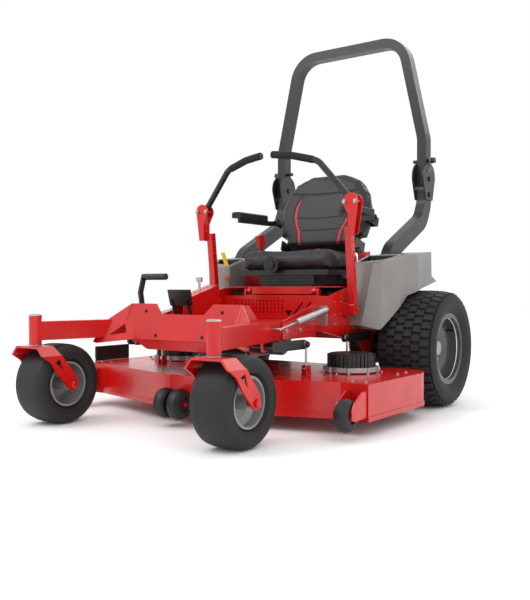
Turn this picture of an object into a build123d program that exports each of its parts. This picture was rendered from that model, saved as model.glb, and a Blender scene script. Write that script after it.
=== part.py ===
from build123d import *
import os

# Electric zero turn mower, in millimetres.
# Z = 0 is the ground, X = 0 the centre plane, +X the machine's left, -Y its front.

os.makedirs("parts", exist_ok=True)

GAP = 0.3  # clearance between pieces that only stand beside each other
RUNNING = 0.05  # radial clearance of a shaft in its bore

# Casters
CASTER_X, CASTER_Y = 463, -903
CASTER_TRAIL = 113
CASTER_TUBE_R, CASTER_TUBE_BORE = 25.5, 20
CASTER_TUBE_LOW, CASTER_TUBE_HIGH = 330, 447
SPINDLE_R = 12.7
CROWN_TOP = 325
FORK_INNER, FORK_PLATE = 90, 8
FRONT_R, FRONT_WIDTH, FRONT_SEAT_R = 165, 165, 88
FRONT_AXLE_Y = CASTER_Y + CASTER_TRAIL
FRONT_AXLE_R = 9.5

# Rear wheels
REAR_X, REAR_Y = 600, 548
REAR_R, REAR_WIDTH, REAR_SEAT_R = 274, 280, 152
STUB_R = 17.45
DRIVE_R = 85

# Frame
RAIL_LOW, RAIL_TALL, RAIL_WIDE, RAIL_WALL = 348, 76, 50, 4
RAIL_TOP = RAIL_LOW + RAIL_TALL
RAIL_ROUTE = [(CASTER_X, CASTER_Y), (325, -330), (325, -60)]
PLATE_X, PLATE_THICK = 350, 6
PLATE_OUT = PLATE_X + PLATE_THICK
FLOOR_Z, FLOOR_THICK = 406, 4
FLOOR_TOP = FLOOR_Z + FLOOR_THICK
BUMPER_Y, REAR_END, BUMPER_HALF = 905.3, 955, 420
HITCH_R = 8.5
SHEET = 4

# Deck
DECK_LOW, DECK_TOP, DECK_WALL = 60, 200, 4
DECK_HALF, DECK_REAR = 768, 262
LIP_TALL, LIP_OUT = 18, 3
BLADES = [("left", 495, -3), ("centre", 0, -262), ("right", -495, -3)]
BLADE_R, BLADE_Z, BLADE_THICK, BLADE_CHORD = 245, 74, 6, 62
BLADE_SHAFT_R = 12.5
MOTOR_RING_R, MOTOR_CAP_R = 116, 104
SCALP_R, SCALP_Z, SCALP_WIDTH = 62, 93, 58
SCALP_CORNER = (722, -460)
SCALP_FRONT = (36, -592)
LINK_X = 400
ARM_X, ARM_THICK, ARM_LONG = 388, 12, 219
FRONT_SHAFT = (-437, 326)
REAR_SHAFT = (348, 335)

# Roll bar
ROPS_WIDE, ROPS_WALL = 50, 5
LEG_DEEP, HOOP_DEEP = 76, 64
HOOP_Y, HOOP_TOP, HOOP_HINGE_Z, LOCK_Z = 884, 1900, 1130, 1226
LEG_X = 440
HINGE_PLATE = 7
PIN_R = 9

# Levers
POST_X, POST_WIDE = 400, 32
LEVER_PIVOT_Y, LEVER_PIVOT_Z = 187, 463
POST_FOOT, POST_HEAD = (187, 478), (147, 838)
LEVER_PIN_R = 10
GRIP_X, GRIP_Z, GRIP_R = 427, 946, 15
WEB_X = POST_X + POST_WIDE / 2 + GAP
GRIP_ROUTE = [(437, 135, 935), (259, 110, 1143), (130, 82, 1175), (30, 69, 1186)]

# Consoles and chute
CONSOLE_IN = 357
CHUTE_X = 764

# Seat
CUSHION_HALF = 280
SEAT_HINGE = (197, 545)
BACK_FOOT, BACK_HEAD = (527, 757), (650, 1182)
BACK_THICK = 85
RECLINE = (566, 748)
ARMREST_PIVOT = (594, 915)


def save(part, name):
    """Labels one finished piece and writes it."""
    part.label = name
    export_step(part, "parts/" + name + ".step")


def save_pair(part, stem):
    """Writes a left-hand piece and its mirror image for the right."""
    save(part, stem + "_left")
    with BuildPart() as twin:
        mirror(part, about=Plane.YZ)
    save(twin.part, stem + "_right")


def save_group(parts, name):
    """Writes several separate solids of one body as one piece."""
    solids = [solid for part in parts for solid in part.solids()]
    save(Compound(solids), name)


def strip(points, width):
    """Outline of a band of even width along a polyline, with mitred corners."""
    path = [Vector(*point) for point in points]
    runs = [(after - before).normalized() for before, after in zip(path, path[1:])]
    left, right = [], []
    for index, point in enumerate(path):
        arriving = runs[max(index - 1, 0)]
        leaving = runs[min(index, len(runs) - 1)]
        middle = (arriving + leaving).normalized()
        reach = width / 2 / middle.dot(leaving)
        across = Vector(-middle.Y, middle.X) * reach
        left.append(point + across)
        right.append(point - across)
    return left + right[::-1]


def outline(points):
    """Fills a closed polygon in the current sketch."""
    with BuildLine() as edge:
        Polyline(*points, close=True)
    make_face(edge.edges())


def side_plane(x):
    """Plane whose own x and y are the machine's Y and Z, at the given X."""
    return Plane(origin=(x, 0, 0), x_dir=(0, 1, 0), z_dir=(1, 0, 0))


def front_plane(y):
    """Plane whose own x and y are the machine's X and Z, facing forward at the given Y."""
    return Plane(origin=(0, y, 0), x_dir=(1, 0, 0), z_dir=(0, -1, 0))


def wheel_plane(x, y, z):
    """Plane through a wheel's centre: own x along the axle, own y up the radius."""
    return Plane(origin=(x, y, z), x_dir=(1, 0, 0), z_dir=(0, -1, 0))


def along_x(y, z):
    return Axis((0, y, z), (1, 0, 0))


def rod(start, end, radius):
    """Adds a round bar between two points."""
    run = Vector(*end) - Vector(*start)
    with BuildSketch(Plane(origin=start, z_dir=run)) as section:
        Circle(radius)
    extrude(section.sketch, amount=run.length)


def panel(corners, thickness):
    """Adds one flat sheet panel, half its thickness to each side of its corners."""
    points = [Vector(*corner) for corner in corners]
    normal = (points[1] - points[0]).cross(points[2] - points[0])
    flat = Plane(origin=points[0], x_dir=points[1] - points[0], z_dir=normal)
    with BuildSketch(flat) as sheet:
        outline([flat.to_local_coords(point) for point in points])
    extrude(sheet.sketch, amount=thickness / 2, both=True)


# Front rails, each with its caster tube

with BuildPart() as rail:
    with BuildSketch(Plane.XY.offset(RAIL_LOW)):
        outline(strip(RAIL_ROUTE, RAIL_WIDE))
    extrude(amount=RAIL_TALL)
    with BuildSketch(Plane.XY.offset(RAIL_LOW + RAIL_WALL)):
        hollow = [(445, -828), RAIL_ROUTE[1], (RAIL_ROUTE[2][0], RAIL_ROUTE[2][1] + 1)]
        outline(strip(hollow, RAIL_WIDE - 2 * RAIL_WALL))
    extrude(amount=RAIL_TALL - 2 * RAIL_WALL, mode=Mode.SUBTRACT)
    tube_tall = CASTER_TUBE_HIGH - CASTER_TUBE_LOW
    with Locations((CASTER_X, CASTER_Y, CASTER_TUBE_LOW + tube_tall / 2)):
        Cylinder(CASTER_TUBE_R, tube_tall)
        Cylinder(CASTER_TUBE_BORE, tube_tall, mode=Mode.SUBTRACT)
    mirror(about=Plane.YZ)

# Caster bearings and dust caps: two bearings in each tube, the lower with a bright flange

with BuildPart() as bearings:
    for side in (1, -1):
        for low in (CASTER_TUBE_LOW, CASTER_TUBE_HIGH - 15):
            with BuildSketch(Plane.XY.offset(low)):
                with Locations((side * CASTER_X, CASTER_Y)):
                    Circle(CASTER_TUBE_BORE - 0.03)
                    Circle(SPINDLE_R + RUNNING, mode=Mode.SUBTRACT)
            extrude(amount=14)
        with BuildSketch(Plane.XY.offset(CASTER_TUBE_LOW - 3)):
            with Locations((side * CASTER_X, CASTER_Y)):
                Circle(CASTER_TUBE_R + 1.5)
                Circle(SPINDLE_R + RUNNING, mode=Mode.SUBTRACT)
        extrude(amount=3)

with BuildPart() as dust_caps:
    with BuildSketch(front_plane(CASTER_Y)):
        cap = [(0, 447), (27.5, 447), (27.5, 450), (24, 452.5), (14, 454.5), (0, 455)]
        outline([(CASTER_X + r, z) for r, z in cap])
    revolve(axis=Axis((CASTER_X, CASTER_Y, 0), (0, 0, 1)))
    mirror(about=Plane.YZ)
save_group([bearings.part, dust_caps.part], "caster_bearings_and_caps")

# Caster forks: a folded steel strip over the tyre, cut to the shape of the arms

arm_mid = FORK_INNER + FORK_PLATE / 2
crown_mid = CROWN_TOP - FORK_PLATE / 2
fork_front = [(-arm_mid, 120), (-arm_mid, 286), (-64, crown_mid), (64, crown_mid)]
fork_front += [(arm_mid, 286), (arm_mid, 120)]
fork_side = [
    (-946, 288),
    (-946, 340),
    (-874, 340),
    (-854, 294),
    (-772, 196),
    (-764, 165),
    (-772, 148),
    (-790, 139),
    (-808, 146),
    (-872, 214),
    (-905, 262),
]
fork_window = [(-884, 262), (-858, 272), (-842, 222)]
with BuildPart() as fork:
    with BuildSketch(front_plane(-740)):
        outline(strip([(CASTER_X + x, z) for x, z in fork_front], FORK_PLATE))
    extrude(amount=240)
    with BuildSketch(side_plane(CASTER_X - 120)):
        outline(fork_side)
    extrude(amount=240, mode=Mode.INTERSECT)
    with BuildSketch(side_plane(CASTER_X - 120)):
        outline(fork_window)
        with Locations((FRONT_AXLE_Y, FRONT_R)):
            Circle(FRONT_AXLE_R + RUNNING)
    extrude(amount=240, mode=Mode.SUBTRACT)
    with BuildSketch(Plane.XY.offset(CROWN_TOP)):
        with Locations((CASTER_X, CASTER_Y)):
            Circle(SPINDLE_R)
    extrude(amount=116)

with BuildPart() as front_axle:
    with BuildSketch(wheel_plane(CASTER_X, FRONT_AXLE_Y, FRONT_R)):
        arm_out = FORK_INNER + FORK_PLATE
        half = [
            (0, 0),
            (0, FRONT_AXLE_R),
            (62.5, FRONT_AXLE_R),
            (62.5, 14),
            (FORK_INNER - 0.2, 14),
            (FORK_INNER - 0.2, FRONT_AXLE_R),
            (arm_out + 0.2, FRONT_AXLE_R),
            (arm_out + 0.2, 15),
            (arm_out + 8, 15),
            (arm_out + 11, 9),
            (arm_out + 11, 0),
        ]
        outline(half)
        mirror(about=Plane.YZ)
    revolve(axis=along_x(FRONT_AXLE_Y, FRONT_R))
save_pair(Compound([fork.part.solid(), front_axle.part.solid()]), "caster_fork")

with BuildPart() as front_rim:
    with BuildSketch(wheel_plane(CASTER_X, FRONT_AXLE_Y, FRONT_R)):
        rim = [(66, 84), (66, 92.5), (62, 92.5), (58, FRONT_SEAT_R), (0, FRONT_SEAT_R), (0, 84)]
        outline(rim)
        outline([(-x, r) for x, r in rim])
        outline([(10, 24), (10, 60), (22, 84), (29, 84), (18, 58), (18, 24)])
        outline([(-62, FRONT_AXLE_R + RUNNING), (-62, 26), (62, 26), (62, FRONT_AXLE_R + RUNNING)])
    revolve(axis=along_x(FRONT_AXLE_Y, FRONT_R))
save_pair(front_rim.part, "front_rim")


# Tyre section: share of the half width against share of the height above the seat
TYRE_SHAPE = [(0, 1), (0.55, 0.985), (0.8, 0.93), (0.93, 0.8), (0.995, 0.6), (1, 0.42), (0.94, 0.22)]


def tyre_section(outer_r, width, seat_r, foot_x, flange_r, wall):
    """Section of a hollow tyre, open at its foot where it sits on the rim."""
    half, tall = width / 2, outer_r - seat_r
    outer = [(share * half, seat_r + height * tall) for share, height in TYRE_SHAPE]
    hollow = TYRE_SHAPE[:-1]
    inner = [(share * (half - wall), seat_r + height * (tall - wall)) for share, height in hollow]
    foot = [(foot_x, flange_r + 2), (foot_x, seat_r), (foot_x - wall - 2, seat_r)]
    foot += [(foot_x - wall - 2, seat_r + 0.25 * tall)]
    right = outer + foot + inner[::-1]
    outline(right)
    mirror(about=Plane.YZ)


with BuildPart() as front_tyre:
    with BuildSketch(wheel_plane(CASTER_X, FRONT_AXLE_Y, FRONT_R)):
        tyre_section(FRONT_R, FRONT_WIDTH, FRONT_SEAT_R, 57, 92.5, 9)
    revolve(axis=along_x(FRONT_AXLE_Y, FRONT_R))
save_pair(front_tyre.part, "front_tyre")

# Rear wheels: hollow tyre, rim with a sunk disc, hub with its stub axle, studs and nuts

rear_plane = wheel_plane(REAR_X, REAR_Y, REAR_R)
rear_axis = along_x(REAR_Y, REAR_R)

with BuildPart() as rear_tyre:
    with BuildSketch(rear_plane):
        tyre_section(REAR_R, REAR_WIDTH, REAR_SEAT_R, 105, 171, 12)
    revolve(axis=rear_axis)
save_pair(rear_tyre.part, "rear_tyre")

with BuildPart() as rear_rim:
    with BuildSketch(rear_plane):
        rim = [(116, 147), (116, 171), (111, 171), (106, REAR_SEAT_R), (0, REAR_SEAT_R), (0, 147)]
        outline(rim)
        outline([(-x, r) for x, r in rim])
        outline([(30, 40), (30, 78), (52, 112), (52, 149), (60, 149), (60, 110), (38, 76), (38, 40)])
    revolve(axis=rear_axis)
    with BuildSketch(side_plane(REAR_X + 20)):
        with Locations((REAR_Y, REAR_R)):
            with PolarLocations(57, 5):
                Circle(8.2)
    extrude(amount=30, mode=Mode.SUBTRACT)
save_pair(rear_rim.part, "rear_rim")

with BuildPart() as wheel_hub:
    with BuildSketch(rear_plane):
        hub = [(-118, 0), (-118, STUB_R), (14, STUB_R), (14, 74), (29.7, 74), (29.7, 39)]
        outline(hub + [(58, 39), (64, 32), (64, 0)])
    revolve(axis=rear_axis)
    with BuildSketch(side_plane(REAR_X + 20)):
        with Locations((REAR_Y, REAR_R)):
            with PolarLocations(57, 5):
                Circle(7)
    extrude(amount=33)
    with BuildSketch(side_plane(REAR_X + 38.1)):
        with Locations((REAR_Y, REAR_R)):
            with PolarLocations(57, 5):
                RegularPolygon(12, 6)
    extrude(amount=12)
save_pair(wheel_hub.part, "wheel_hub")

# Drive units: motor inside the frame, gearbox outside it, a neck through the side plate

with BuildPart() as drive_unit:
    with BuildSketch(rear_plane):
        x_of = -REAR_X
        body = [(215, 0), (215, 66), (228, 78), (PLATE_X, 78), (PLATE_X, 59.9), (PLATE_OUT, 59.9)]
        body += [(PLATE_OUT, DRIVE_R), (505, DRIVE_R), (530, 52), (560, 52)]
        body += [(560, STUB_R + RUNNING), (480, STUB_R + RUNNING), (480, 0)]
        outline([(x + x_of, r) for x, r in body])
    revolve(axis=rear_axis)
    with BuildSketch(side_plane(232)):
        with Locations((REAR_Y, REAR_R)):
            with PolarLocations(78, 24):
                Rectangle(5, 5)
    extrude(amount=100, mode=Mode.SUBTRACT)
    mirror(about=Plane.YZ)
save(drive_unit.part, "drive_units")

# Side plates, cross members, floor and battery bay

plate_edge = [
    (-326, RAIL_LOW),
    (-326, RAIL_TOP),
    (-310, 428),
    (129, 545),
    (200, 560),
    (370, 560),
    (392, 640),
    (520, 640),
    (560, 560),
    (850, 520),
    (905, 440),
    (905, 330),
    (760, 300),
    (670, 190),
    (430, 190),
    (330, 300),
    (-3, 366),
    (-148, 378),
    (-228, 361),
    (-300, RAIL_LOW),
]
bolt_spots = [(100, 500), (100, 445), (150, 500), (150, 445)]
with BuildPart() as side_sheet:
    with BuildSketch(side_plane(PLATE_X)):
        outline(plate_edge)
        with Locations((REAR_Y, REAR_R)):
            Circle(60, mode=Mode.SUBTRACT)
        with Locations(REAR_SHAFT):
            Circle(12 + RUNNING, mode=Mode.SUBTRACT)
        with Locations(bolt_spots):
            Circle(5.5, mode=Mode.SUBTRACT)
    extrude(amount=PLATE_THICK)
    mirror(about=Plane.YZ)
save(side_sheet.part, "side_plates")

# Each cross member: rear edge, lower edge, depth along Y, height
cross_spots = [(-45, 366, 50, 40), (190, 326, 40, 34), (572, 400, 40, 40), (862, 340, 40, 60)]
with BuildPart() as cross_members:
    for y, z, deep, tall in cross_spots:
        with BuildSketch(side_plane(-PLATE_X)):
            with Locations((y + deep / 2, z + tall / 2)):
                Rectangle(deep, tall)
                Rectangle(deep - 8, tall - 8, mode=Mode.SUBTRACT)
        extrude(amount=2 * PLATE_X)

# Rear bumper with a towing tongue under its middle
with BuildPart() as bumper:
    with BuildSketch(side_plane(-BUMPER_HALF)):
        with Locations(((BUMPER_Y + REAR_END) / 2, 370)):
            Rectangle(REAR_END - BUMPER_Y, 70)
            Rectangle(REAR_END - BUMPER_Y - 10, 60, mode=Mode.SUBTRACT)
    extrude(amount=2 * BUMPER_HALF)
    with BuildSketch(Plane.XY.offset(323)):
        with Locations((0, 870)):
            Rectangle(110, 82, align=(Align.CENTER, Align.MIN))
    extrude(amount=12)
    with BuildSketch(Plane.XY.offset(320)):
        with Locations((0, 930)):
            Circle(HITCH_R)
    extrude(amount=100, mode=Mode.SUBTRACT)
save_group([rail.part, cross_members.part, bumper.part], "frame")

with BuildPart() as floor_pan:
    with BuildSketch(Plane.XY.offset(FLOOR_Z)):
        left_edge = [(322, -512), (298, -335), (298, -56), (348, -56), (348, 183)]
        outline(left_edge + [(-x, y) for x, y in left_edge[::-1]])
    extrude(amount=FLOOR_THICK)
    with BuildSketch(Plane.XY.offset(FLOOR_Z)):
        with Locations((0, -200)):
            with GridLocations(120, 90, 4, 5):
                SlotOverall(60, 12)
    extrude(amount=FLOOR_THICK, mode=Mode.SUBTRACT)

with BuildPart() as vent_panel:
    with BuildSketch(side_plane(-348)):
        foot = FLOOR_TOP + 1
        outline([(184, foot), (184, 522), (236, 522), (236, 518), (188, 518), (188, foot)])
    extrude(amount=696)
    with BuildSketch(front_plane(190)):
        slots = [(x, 460) for x in (105, 150, 195, 240, 285)]
        for x, z in slots:
            outline([(x - 34, z - 30), (x - 24, z - 30), (x + 30, z + 32), (x + 20, z + 32)])
        outline([(28, 452), (70, 452), (48, 424)])
        with Locations((-130, 470)):
            with GridLocations(22, 18, 14, 4):
                Rectangle(5, 13, rotation=-35)
    extrude(amount=8, mode=Mode.SUBTRACT)
save_group([floor_pan.part, vent_panel.part], "floor_panels")

with BuildPart() as batteries:
    for x in (-173, 173):
        with BuildSketch(Plane.XY.offset(368)):
            with Locations((x, 392)):
                RectangleRounded(330, 300, 12)
        extrude(amount=172)
        with BuildSketch(Plane.XY.offset(540)):
            with Locations((x, 392)):
                with GridLocations(0, 36, 1, 7):
                    Rectangle(250, 10)
        extrude(amount=5)
save(batteries.part, "battery_packs")

# Front plate: a folded sheet across the rails with a wing at each side


def front_y(z):
    """Depth of the leaning face at a height."""
    return -563 + (z - 343) * 44 / 150


def wing_y(x, z):
    """Depth of the swept wing at an offset and a height."""
    return -519 - 0.4192 * (x - 298) + 0.4414 * (z - 493)


face_edge = [(-245, 343), (245, 343), (298, 493), (154, 493), (113, 450)]
face_edge += [(-113, 450), (-154, 493), (-298, 493)]
chin = [(-190, -540, 302), (190, -540, 302), (245, -563, 343), (-245, -563, 343)]
wing_edge = [(245, 343), (400, 324), (415, 330), (375, 428), (298, 493)]
wing_hole = [(301, 407), (357, 356), (284, 369)]
with BuildPart() as front_plate:
    panel([(x, front_y(z), z) for x, z in face_edge], SHEET)
    panel(chin, SHEET)
    panel([(x, wing_y(x, z), z) for x, z in wing_edge], SHEET)
    with BuildSketch(side_plane(296)):
        outline([(-525, 490), (-481, 490), (-416, 427), (-553, 427)])
    extrude(amount=SHEET)
    with BuildSketch(front_plane(-460)):
        outline(wing_hole)
    extrude(amount=140, mode=Mode.SUBTRACT)
    with BuildSketch(Plane.XY.offset(RAIL_LOW)):
        outline(strip(RAIL_ROUTE, RAIL_WIDE))
    extrude(amount=RAIL_TALL, mode=Mode.SUBTRACT)
    mirror(about=Plane.YZ)
save(front_plate.part, "front_plate")

# Mower deck: an open shell with a rolled lip, a discharge gap on the right

deck_half = [(84, -520), (104, -527), (398, -438), (644, -363), (DECK_HALF, -369)]
deck_corner = 150
deck_edge = [(0, -520)] + deck_half + [(DECK_HALF, DECK_REAR - deck_corner)]


def deck_outline(inset):
    """Deck's plan, shrunk by an inset all round."""
    with BuildLine() as edge:
        right = [(x, y) for x, y in deck_edge]
        Polyline(*right)
        RadiusArc(right[-1], (DECK_HALF - deck_corner, DECK_REAR), -deck_corner)
        Line((DECK_HALF - deck_corner, DECK_REAR), (0, DECK_REAR))
        mirror(about=Plane.YZ)
    make_face(edge.edges())
    if inset:
        offset(amount=-inset, kind=Kind.INTERSECTION, mode=Mode.REPLACE)


with BuildPart() as deck:
    with BuildSketch(Plane.XY.offset(DECK_LOW)):
        deck_outline(LIP_OUT)
    extrude(amount=DECK_TOP - DECK_LOW)
    with BuildSketch(Plane.XY.offset(DECK_LOW)):
        deck_outline(0)
    extrude(amount=LIP_TALL)
    with BuildSketch(Plane.XY.offset(DECK_LOW)):
        deck_outline(LIP_OUT + DECK_WALL)
    extrude(amount=DECK_TOP - DECK_LOW - DECK_WALL, mode=Mode.SUBTRACT)
    with BuildSketch(Plane.XY.offset(DECK_TOP - 20)):
        for hand, x, y in BLADES:
            with Locations((x, y)):
                Circle(24)
    extrude(amount=40, mode=Mode.SUBTRACT)
    with BuildSketch(side_plane(-DECK_HALF - 10)):
        with Locations((-190, 122)):
            Rectangle(220, 116)
    extrude(amount=30, mode=Mode.SUBTRACT)
save(deck.part, "deck_shell")

# Blade motors on the deck: bright mounting ring, finned cap and the spindle bore

rings, caps = [], []
for hand, x, y in BLADES:
    with BuildPart() as ring:
        with BuildSketch(Plane.XY.offset(DECK_TOP + 6)):
            with Locations((x, y)):
                Circle(MOTOR_RING_R)
                with PolarLocations(MOTOR_RING_R - 2, 8, start_angle=22.5):
                    Circle(9)
                with Locations((0, 0)):
                    Circle(30, mode=Mode.SUBTRACT)
        extrude(amount=20)
        with BuildSketch(Plane.XY.offset(DECK_TOP)):
            with Locations((x, y)):
                with PolarLocations(MOTOR_RING_R - 8, 8, start_angle=22.5):
                    Circle(8)
        extrude(amount=6)
    rings.append(ring.part)

    with BuildPart() as cap:
        with BuildSketch(Plane.XY.offset(DECK_TOP + 26)):
            with Locations((x, y)):
                Circle(MOTOR_CAP_R)
                with PolarLocations(MOTOR_CAP_R, 36):
                    Rectangle(14, 5, mode=Mode.SUBTRACT)
        extrude(amount=52)
        with BuildSketch(Plane.XY.offset(DECK_TOP + 78)):
            with Locations((x, y)):
                Circle(MOTOR_CAP_R - 12)
        extrude(amount=4)
        with BuildSketch(Plane.XY.offset(DECK_TOP + 26)):
            with Locations((x, y)):
                Circle(BLADE_SHAFT_R + RUNNING)
        extrude(amount=36, mode=Mode.SUBTRACT)
    caps.append(cap.part)

    with BuildPart() as blade:
        turn = 90 if x == 0 else 0
        with BuildSketch(Plane.XY.offset(BLADE_Z)):
            with Locations(Location((x, y, 0), (0, 0, turn))):
                SlotOverall(2 * BLADE_R, BLADE_CHORD)
                with Locations((BLADE_R * 0.72, BLADE_CHORD / 2), (-BLADE_R * 0.72, -BLADE_CHORD / 2)):
                    Rectangle(150, 14, mode=Mode.SUBTRACT)
        extrude(amount=BLADE_THICK)
        with BuildSketch(Plane.XY.offset(BLADE_Z + BLADE_THICK)):
            with Locations((x, y)):
                Circle(BLADE_SHAFT_R)
        extrude(amount=DECK_TOP + 60 - BLADE_Z - BLADE_THICK)
        with BuildSketch(Plane.XY.offset(BLADE_Z - 9)):
            with Locations((x, y)):
                RegularPolygon(15, 6)
        extrude(amount=9)
        with BuildSketch(Plane.XY.offset(BLADE_Z + BLADE_THICK)):
            with Locations((x, y)):
                Circle(32)
        extrude(amount=14)
    save(blade.part, "blade_" + hand)
save_group(rings, "motor_rings")
save_group(caps, "blade_motors")

# Anti-scalp wheels: a pair at the front of the deck and one at each front corner

corner_x, corner_y = SCALP_CORNER
front_x, front_y_axle = SCALP_FRONT
SCALP_PIN = 8


def scalp_wheel(x, y):
    """Adds one rounded roller on its pin bore."""
    half = SCALP_WIDTH / 2
    bore = SCALP_PIN + RUNNING
    with BuildSketch(wheel_plane(x, y, SCALP_Z)) as section:
        right = [(0, SCALP_R), (half * 0.6, SCALP_R - 3), (half * 0.9, SCALP_R - 13)]
        right += [(half, SCALP_R - 26), (half, 30), (half - 8, 26), (half - 8, bore)]
        outline(right + [(-a, b) for a, b in right[::-1] if a])
    revolve(section.sketch, axis=along_x(y, SCALP_Z))


with BuildPart() as corner_wheel:
    scalp_wheel(corner_x, corner_y)
save_pair(corner_wheel.part, "scalp_wheel")

with BuildPart() as front_pair:
    scalp_wheel(front_x, front_y_axle)
    scalp_wheel(-front_x, front_y_axle)
save(front_pair.part, "scalp_wheels_front")

with BuildPart() as scalp_brackets:
    bracket_edge = [(-362, 78), (-362, 176), (-400, 176), (-462, 140), (-482, 112), (-482, 82), (-462, 74)]
    for x in (corner_x - 38, corner_x + 32):
        with BuildSketch(side_plane(x)):
            outline(bracket_edge)
        extrude(amount=6)
    with BuildSketch(side_plane(corner_x - 31.7)):
        with Locations((corner_y, SCALP_Z)):
            Circle(SCALP_PIN)
    extrude(amount=63.4)
    mirror(about=Plane.YZ)
    with BuildSketch(side_plane(-5)):
        tip = [(-500, 76), (-500, 150), (-560, 120), (-606, 104), (-606, 82), (-590, 76)]
        outline(tip)
    extrude(amount=10)
    with BuildSketch(side_plane(-front_x - SCALP_WIDTH / 2 - 6)):
        with Locations((front_y_axle, SCALP_Z)):
            Circle(SCALP_PIN)
    extrude(amount=2 * front_x + SCALP_WIDTH + 12)
    with BuildSketch(Plane.XY.offset(DECK_LOW)):
        deck_outline(0)
    extrude(amount=DECK_TOP - DECK_LOW, mode=Mode.SUBTRACT)

# Deck lift: clevises and links on the deck, arms on two cross shafts under the frame

link_spots = [(FRONT_SHAFT[0] + ARM_LONG, FRONT_SHAFT[1]), (REAR_SHAFT[0] - ARM_LONG, REAR_SHAFT[1])]
with BuildPart() as clevises:
    for y, z in link_spots:
        for x in (LINK_X - 14, LINK_X + 10):
            with BuildSketch(side_plane(x)):
                outline([(y - 18, DECK_TOP), (y + 18, DECK_TOP), (y + 14, 240), (y - 14, 240)])
            extrude(amount=4)
        with BuildSketch(side_plane(LINK_X - 10)):
            with Locations((y, 226)):
                Circle(5)
        extrude(amount=20)
        with BuildSketch(side_plane(LINK_X + 14)):
            with Locations((y, 226)):
                RegularPolygon(9, 6)
        extrude(amount=6)
    mirror(about=Plane.YZ)
save_group([scalp_brackets.part, clevises.part], "deck_brackets")

with BuildPart() as links:
    for y, z in link_spots:
        with BuildSketch(side_plane(LINK_X - 4)):
            with Locations((y, z)):
                Circle(17)
            with Locations((y, 226)):
                Circle(12)
        extrude(amount=8)
        with BuildSketch(Plane.XY.offset(232)):
            with Locations((LINK_X, y)):
                Circle(5.5)
        extrude(amount=z - 246)
        with BuildSketch(side_plane(LINK_X - 4)):
            with Locations((y, z)):
                Circle(11.5)
            with Locations((y, 226)):
                Circle(5 + RUNNING)
        extrude(amount=8, mode=Mode.SUBTRACT)
    mirror(about=Plane.YZ)
save(links.part, "lift_links")

for name, pivot, link in (("front", FRONT_SHAFT, link_spots[0]), ("rear", REAR_SHAFT, link_spots[1])):
    with BuildPart() as lift_shaft:
        with BuildSketch(side_plane(ARM_X - ARM_THICK / 2)):
            with Locations(pivot, link):
                Circle(20)
            middle = (pivot[0] + link[0]) / 2
            with Locations((middle, pivot[1])):
                Rectangle(ARM_LONG, 40)
        extrude(amount=ARM_THICK)
        with BuildSketch(side_plane(ARM_X + ARM_THICK / 2)):
            with Locations(link):
                Circle(6)
        extrude(amount=14)
        with BuildSketch(side_plane(LINK_X + 4.5)):
            with Locations(link):
                RegularPolygon(14, 6)
        extrude(amount=8)
        mirror(about=Plane.YZ)
        with BuildSketch(side_plane(-ARM_X)):
            with Locations(pivot):
                Circle(12)
        extrude(amount=2 * ARM_X)
    save(lift_shaft.part, "lift_shaft_" + name)

with BuildPart() as hangers:
    y, z = FRONT_SHAFT
    with BuildSketch(side_plane(338)):
        outline([(y - 20, RAIL_LOW), (y - 16, z - 20), (y + 16, z - 20), (y + 20, RAIL_LOW)])
        with Locations((y, z)):
            Circle(12 + RUNNING, mode=Mode.SUBTRACT)
    extrude(amount=12)
    with BuildSketch(side_plane(326)):
        outline([(-290, RAIL_LOW), (-290, 316), (-262, 316), (-262, RAIL_LOW)])
    extrude(amount=6)
    mirror(about=Plane.YZ)

with BuildPart() as spring_set:
    tube_start, tube_end = (404, -300, 419), (404, -71, 463)
    rod(tube_start, tube_end, 15)
    rod((404, -420, 396), (404, -300, 419), 3.5)
    rod((404, -71, 463), (404, -48, 467.5), 6)
    with BuildSketch(side_plane(PLATE_OUT)):
        with Locations((-46, 440)):
            Rectangle(22, 84)
    extrude(amount=40)
    with BuildSketch(side_plane(PLATE_X)):
        with Locations((-420, 396)):
            Circle(5)
    extrude(amount=60)
    mirror(about=Plane.YZ)
    add(rail.part, mode=Mode.SUBTRACT)
save(spring_set.part, "assist_springs")

# Roll bar: two cranked legs, hinge plates with pivot bolts, and the folding hoop
leg_route = [(455, 566), (455, 724), (836, 908), (HOOP_Y, 1000), (HOOP_Y, 1072)]
with BuildPart() as leg:
    with BuildLine() as leg_line:
        FilletPolyline(*[(LEG_X, y, z) for y, z in leg_route], radius=110)
    with BuildSketch(Plane.XY.offset(566)):
        with Locations((LEG_X, 455)):
            Rectangle(ROPS_WIDE, LEG_DEEP)
            Rectangle(ROPS_WIDE - 2 * ROPS_WALL, LEG_DEEP - 2 * ROPS_WALL, mode=Mode.SUBTRACT)
    sweep(path=leg_line.wires()[0])
    with BuildSketch(Plane.XY.offset(580)):
        with Locations(((PLATE_OUT + LEG_X - ROPS_WIDE / 2) / 2, 455)):
            Rectangle(LEG_X - ROPS_WIDE / 2 - PLATE_OUT, 76)
    extrude(amount=50)
    mirror(about=Plane.YZ)

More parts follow.
